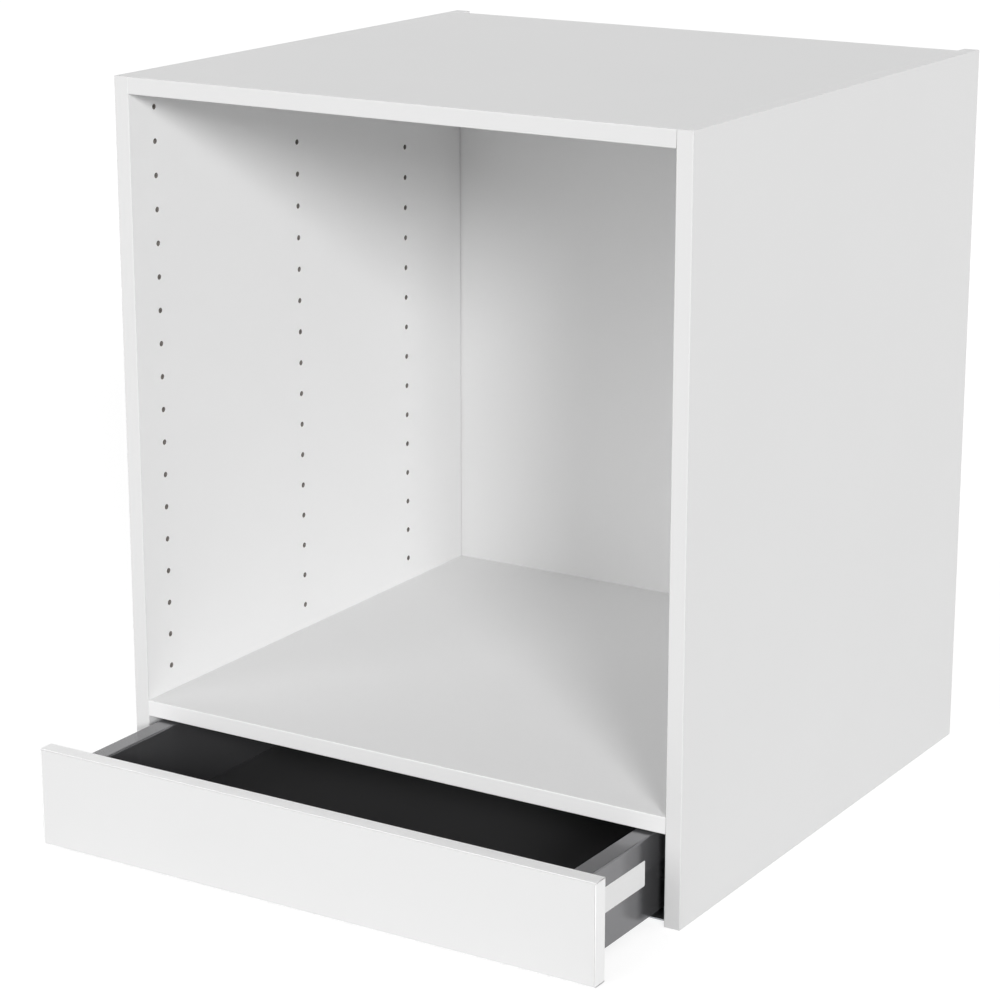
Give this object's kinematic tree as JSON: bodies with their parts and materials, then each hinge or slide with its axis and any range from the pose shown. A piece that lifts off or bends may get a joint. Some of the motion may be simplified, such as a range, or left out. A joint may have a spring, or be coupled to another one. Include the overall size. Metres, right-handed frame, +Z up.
{
  "type": "oven base cabinet",
  "caption": "White kitchen base cabinet with an open oven niche over a shallow full-extension drawer with rolled steel sides.",
  "frame": {"origin": "on the floor, under the middle of the box round the cabinet and its drawer as it stands in the picture, pulled out 128 mm", "axes": "+X to the right as seen from the front, +Y to the rear, +Z up"},
  "size_m": [0.6, 0.724, 0.704],
  "materials": {
    "white_board": "white melamine facing on chipboard, satin",
    "white_edge": "white plastic edge band",
    "white_front": "white melamine drawer front, satin",
    "anthracite_steel": "powder-coated sheet steel, fine texture, anthracite",
    "anthracite_board": "anthracite melamine on chipboard",
    "galvanised_steel": "galvanised rolled sheet",
    "bright_steel": "zinc-plated steel",
    "zinc_casting": "die-cast zinc",
    "grey_nylon": "moulded nylon",
    "beech": "fluted beech"
  },
  "bodies": {
    "carcass": {"back_panel": "white_board", "back_screws": "bright_steel", "cabinet_rail_left": "galvanised_steel", "cabinet_rail_right": "galvanised_steel", "cam_bolts": "bright_steel", "cam_locks": "zinc_casting", "oven_shelf": "white_board", "rail_screws": "bright_steel", "shelf_edge_band": "white_edge", "side_edge_band_left": "white_edge", "side_edge_band_right": "white_edge", "side_left": "white_board", "side_right": "white_board", "top_edge_band": "white_edge", "top_panel": "white_board", "wood_dowels": "beech"},
    "drawer": {"back_bracket_left": "anthracite_steel", "back_bracket_right": "anthracite_steel", "bottom_screws": "bright_steel", "bracket_screws": "bright_steel", "drawer_back": "anthracite_board", "drawer_bottom": "anthracite_board", "drawer_front": "white_front", "drawer_rail_left": "galvanised_steel", "drawer_rail_right": "galvanised_steel", "drawer_side_left": "anthracite_steel", "drawer_side_right": "anthracite_steel", "front_bracket_left": "galvanised_steel", "front_bracket_right": "galvanised_steel", "front_catch_left": "grey_nylon", "front_catch_right": "grey_nylon", "front_level_bands": "white_front", "front_upright_bands": "white_front", "side_stiffener_left": "galvanised_steel", "side_stiffener_right": "galvanised_steel"},
    "middle_rail_left": {"middle_rail_left": "galvanised_steel"},
    "lower_cage_left": {"lower_cage_left": "grey_nylon", "lower_rollers_left": "bright_steel"},
    "upper_cage_left": {"upper_cage_left": "grey_nylon", "upper_rollers_left": "bright_steel"},
    "middle_rail_right": {"middle_rail_right": "galvanised_steel"},
    "lower_cage_right": {"lower_cage_right": "grey_nylon", "lower_rollers_right": "bright_steel"},
    "upper_cage_right": {"upper_cage_right": "grey_nylon", "upper_rollers_right": "bright_steel"}
  },
  "joints": [
    {"name": "drawer_slide", "type": "slide", "parent": "carcass", "child": "drawer", "axis": [0, -1, 0], "range_m": [-0.126, 0.354]},
    {"name": "middle_rail_left_slide", "type": "slide", "parent": "carcass", "child": "middle_rail_left", "axis": [0, -1, 0], "range_m": [-0.063, 0.177]},
    {"name": "middle_rail_right_slide", "type": "slide", "parent": "carcass", "child": "middle_rail_right", "axis": [0, -1, 0], "range_m": [-0.063, 0.177]},
    {"name": "lower_cage_left_slide", "type": "slide", "parent": "carcass", "child": "lower_cage_left", "axis": [0, -1, 0], "range_m": [-0.0315, 0.0885]},
    {"name": "lower_cage_right_slide", "type": "slide", "parent": "carcass", "child": "lower_cage_right", "axis": [0, -1, 0], "range_m": [-0.0315, 0.0885]},
    {"name": "upper_cage_left_slide", "type": "slide", "parent": "carcass", "child": "upper_cage_left", "axis": [0, -1, 0], "range_m": [-0.0945, 0.2655]},
    {"name": "upper_cage_right_slide", "type": "slide", "parent": "carcass", "child": "upper_cage_right", "axis": [0, -1, 0], "range_m": [-0.0945, 0.2655]}
  ],
  "couplings": [
    {"joint": "middle_rail_left_slide", "follows": "drawer_slide", "ratio": 0.5},
    {"joint": "middle_rail_right_slide", "follows": "drawer_slide", "ratio": 0.5},
    {"joint": "lower_cage_left_slide", "follows": "drawer_slide", "ratio": 0.25},
    {"joint": "lower_cage_right_slide", "follows": "drawer_slide", "ratio": 0.25},
    {"joint": "upper_cage_left_slide", "follows": "drawer_slide", "ratio": 0.75},
    {"joint": "upper_cage_right_slide", "follows": "drawer_slide", "ratio": 0.75}
  ]
}
